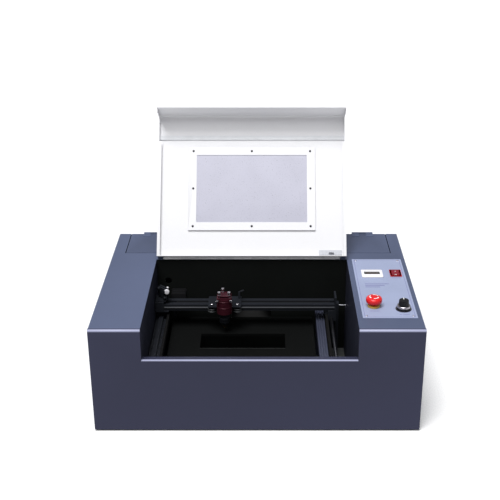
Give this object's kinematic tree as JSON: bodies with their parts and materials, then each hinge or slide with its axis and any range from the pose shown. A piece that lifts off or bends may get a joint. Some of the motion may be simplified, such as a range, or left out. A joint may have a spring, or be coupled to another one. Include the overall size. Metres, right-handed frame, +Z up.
{
  "type": "laser engraver",
  "caption": "Desktop laser engraver with a slate-blue sheet-metal cabinet, an open tilting lid with a window, an X-Y gantry over a work bed, and a control panel on the right wing.",
  "frame": {"origin": "on the table, at the centre of the machine's footprint from the front face to the end of the exhaust spigot", "axes": "+X to the right seen from the front, +Y to the rear of the machine, +Z up"},
  "size_m": [0.8032, 0.62, 0.6797],
  "materials": {
    "front_paint": "satin dark slate-blue powder coat",
    "top_paint": "satin slate-blue powder coat",
    "inner_paint": "matt near-black powder coat",
    "white_paint": "satin white powder coat",
    "zinc_plate": "bare zinc-coated sheet",
    "rubber": "matt black rubber",
    "rail_alu": "anodised extrusion",
    "dark_alu": "dark anodised",
    "steel": "ground steel",
    "chrome": "plated",
    "dark_steel": "blackened steel",
    "motor_black": "black enamel",
    "glass": "clear borosilicate glass",
    "clamp_blue": "moulded plastic",
    "pcb_green": "solder mask",
    "panel_film": "printed overlay film",
    "white_plastic": "moulded plastic",
    "red_plastic": "moulded plastic",
    "dark_red": "dark red anodised",
    "black_plastic": "moulded plastic",
    "yellow_plastic": "moulded plastic",
    "window_acrylic": "pale translucent acrylic",
    "seal_foam": "grey foam strip",
    "roller_plastic": "acetal",
    "brass": "turned brass"
  },
  "bodies": {
    "cabinet": {"front_panel": "front_paint", "left_cover": "top_paint", "right_cover": "top_paint", "left_wall": "inner_paint", "right_wall": "inner_paint", "rear_wall": "inner_paint", "hinge_rail": "top_paint", "rear_panel": "front_paint", "base_pan": "zinc_plate", "rubber_feet": "rubber", "bed_plate": "inner_paint", "y_rail_left": "dark_alu", "bed_rail_right": "rail_alu", "y_rod_right": "steel", "rail_blocks": "dark_alu", "y_motor": "motor_black", "y_belts": "rubber", "laser_tube": "glass", "tube_clamps": "clamp_blue", "mirror_mount_1": "dark_alu", "laser_psu": "zinc_plate", "control_board": "pcb_green", "exhaust_duct": "zinc_plate", "control_panel": "panel_film", "power_display": "white_plastic", "rocker_bezel": "red_plastic", "estop_base": "yellow_plastic", "dial_ring": "chrome", "rear_sockets": "black_plastic", "hose_barbs": "brass", "cabinet_screws": "dark_steel", "cabinet_hinge_leaves": "steel"},
    "lid": {"lid_shell": "white_paint", "lid_window": "window_acrylic", "window_frame": "white_paint", "window_screws": "dark_steel", "lid_seal": "seal_foam", "lid_hinge_leaf": "steel", "lid_striker": "zinc_plate"},
    "hatch": {"rear_hatch": "top_paint"},
    "gantry": {"gantry_rail": "dark_alu", "gantry_left_end": "dark_alu", "gantry_right_end": "dark_alu", "x_motor": "motor_black", "x_belt": "rubber", "mirror_mount_2": "dark_alu"},
    "carriage": {"carriage_plate": "dark_alu", "mirror_housing": "dark_red", "mirror_mount_3": "chrome"},
    "focus_tube": {"lens_tube": "dark_alu"},
    "cross_shaft": {"y_drive_shaft": "steel"},
    "front_idlers": {"y_idlers": "steel"},
    "belt_pulley": {"x_pulley": "steel"},
    "belt_idler": {"x_idler": "steel"},
    "left_roller": {"roller_front_left": "roller_plastic"},
    "right_roller": {"roller_front_right": "roller_plastic"},
    "rear_roller": {"roller_rear": "roller_plastic"},
    "switch_rocker": {"rocker": "red_plastic"},
    "stop_button": {"estop_button": "red_plastic"},
    "dial_knob": {"power_knob": "black_plastic"}
  },
  "joints": [
    {"name": "lid_hinge", "type": "hinge", "parent": "cabinet", "child": "lid", "pos_m": [-0.017, 0.091, 0.2857], "axis": [1, 0, 0], "range_deg": [0, 123.5]},
    {"name": "hatch_hinge", "type": "hinge", "parent": "cabinet", "child": "hatch", "pos_m": [0, 0.2738, 0.282], "axis": [-1, 0, 0], "range_deg": [0, 100]},
    {"name": "gantry_slide", "type": "slide", "parent": "cabinet", "child": "gantry", "axis": [0, -1, 0], "range_m": [0, 0.23]},
    {"name": "cross_shaft_spin", "type": "hinge", "parent": "cabinet", "child": "cross_shaft", "pos_m": [0, 0.068, 0.154], "axis": [1, 0, 0], "range_deg": [-10, 1560]},
    {"name": "front_idler_spin", "type": "hinge", "parent": "cabinet", "child": "front_idlers", "pos_m": [0, -0.27, 0.154], "axis": [1, 0, 0], "range_deg": [-10, 1560]},
    {"name": "carriage_slide", "type": "slide", "parent": "gantry", "child": "carriage", "axis": [1, 0, 0], "range_m": [-0.088, 0.225]},
    {"name": "belt_pulley_spin", "type": "hinge", "parent": "gantry", "child": "belt_pulley", "pos_m": [-0.215, 0.014, 0.1842], "axis": [0, 1, 0], "range_deg": [-780, 2100]},
    {"name": "belt_idler_spin", "type": "hinge", "parent": "gantry", "child": "belt_idler", "pos_m": [0.19, 0.014, 0.1842], "axis": [0, 1, 0], "range_deg": [-780, 2100]},
    {"name": "left_roller_spin", "type": "hinge", "parent": "carriage", "child": "left_roller", "pos_m": [-0.122, -0.0158, 0.184], "axis": [0, 0, 1], "range_deg": [-600, 1600]},
    {"name": "right_roller_spin", "type": "hinge", "parent": "carriage", "child": "right_roller", "pos_m": [-0.054, -0.0158, 0.184], "axis": [0, 0, 1], "range_deg": [-600, 1600]},
    {"name": "rear_roller_spin", "type": "hinge", "parent": "carriage", "child": "rear_roller", "pos_m": [-0.088, 0.0438, 0.184], "axis": [0, 0, 1], "range_deg": [-1600, 600]},
    {"name": "focus_slide", "type": "slide", "parent": "carriage", "child": "focus_tube", "axis": [0, 0, 1], "range_m": [-0.008, 0.006]},
    {"name": "rocker_tilt", "type": "hinge", "parent": "cabinet", "child": "switch_rocker", "pos_m": [0.363, -0.002, 0.2812], "axis": [1, 0, 0], "range_deg": [-16, 0]},
    {"name": "stop_press", "type": "slide", "parent": "cabinet", "child": "stop_button", "axis": [0, 0, -1], "range_m": [0, 0.004], "stiffness_N_per_m": 1200},
    {"name": "knob_turn", "type": "hinge", "parent": "cabinet", "child": "dial_knob", "pos_m": [0.3585, -0.204, 0.2832], "axis": [0, 0, 1], "range_deg": [-150, 150]}
  ],
  "couplings": [
    {"joint": "cross_shaft_spin", "follows": "gantry_slide", "rad_per_m": 116.28},
    {"joint": "front_idler_spin", "follows": "gantry_slide", "rad_per_m": 116.28},
    {"joint": "belt_pulley_spin", "follows": "carriage_slide", "rad_per_m": 151.52},
    {"joint": "belt_idler_spin", "follows": "carriage_slide", "rad_per_m": 151.52},
    {"joint": "left_roller_spin", "follows": "carriage_slide", "rad_per_m": 113.64},
    {"joint": "right_roller_spin", "follows": "carriage_slide", "rad_per_m": 113.64},
    {"joint": "rear_roller_spin", "follows": "carriage_slide", "rad_per_m": -113.64}
  ]
}
